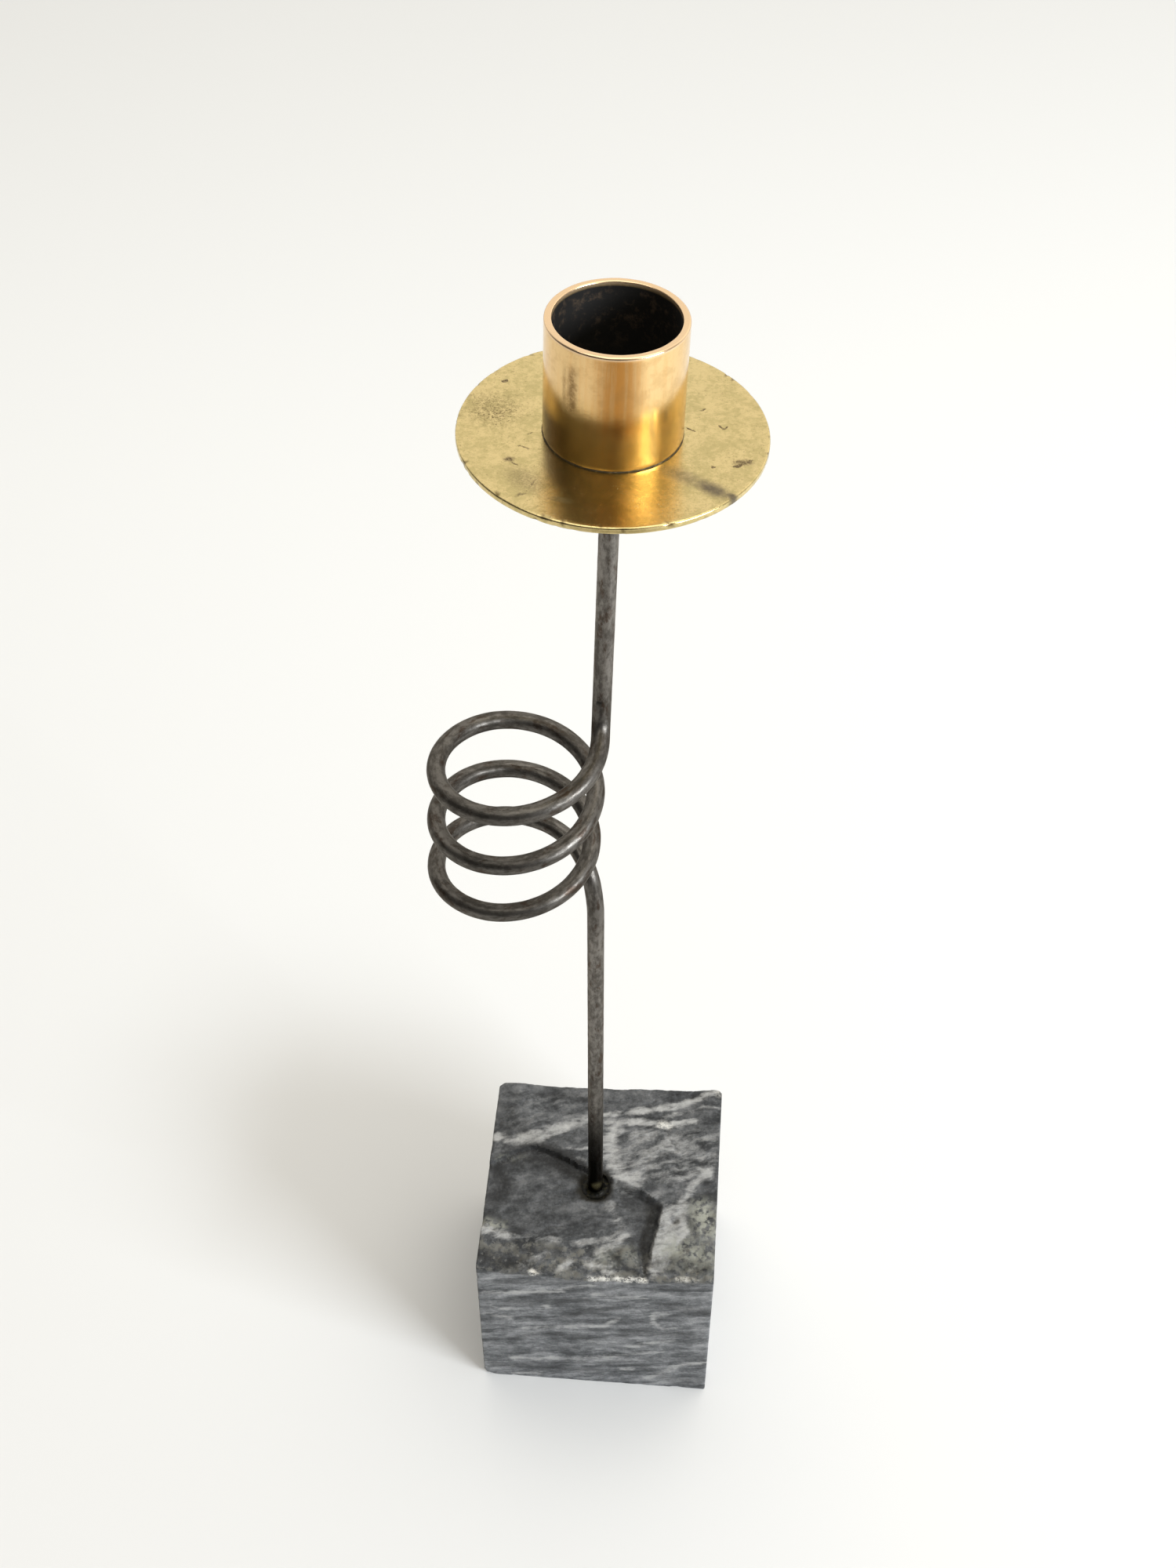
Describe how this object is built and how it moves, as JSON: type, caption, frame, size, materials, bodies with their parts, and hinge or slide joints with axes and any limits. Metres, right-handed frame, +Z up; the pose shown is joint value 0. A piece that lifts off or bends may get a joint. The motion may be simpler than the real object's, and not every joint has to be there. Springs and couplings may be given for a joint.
{
  "type": "candle holder",
  "caption": "Single candle holder: a tube cup and round drip pan on a wire stem with a spiral coil, set in a stone block.",
  "frame": {"origin": "centre of the underside of the stone block", "axes": "+Z up, +X to the right and +Y to the back of the holder, square to the block's sawn sides"},
  "size_m": [0.0675, 0.0576, 0.3233],
  "materials": {
    "marble": "dark grey marble with light streaks, sawn sides and a split top",
    "resin": "dark cured resin",
    "iron_wire": "bare dark iron wire with brown mill scale",
    "braze": "as brazed",
    "pan_brass": "satin aged brass with fine scratches and stains",
    "solder": "dull dark solder line",
    "cup_brass": "polished aged brass outside, sooted inside"
  },
  "bodies": {
    "root": {"stone_base": "marble", "socket_resin": "resin", "spiral_stem": "iron_wire", "pan_braze": "braze", "drip_pan": "pan_brass", "cup_solder": "solder", "candle_cup": "cup_brass"}
  },
  "joints": []
}
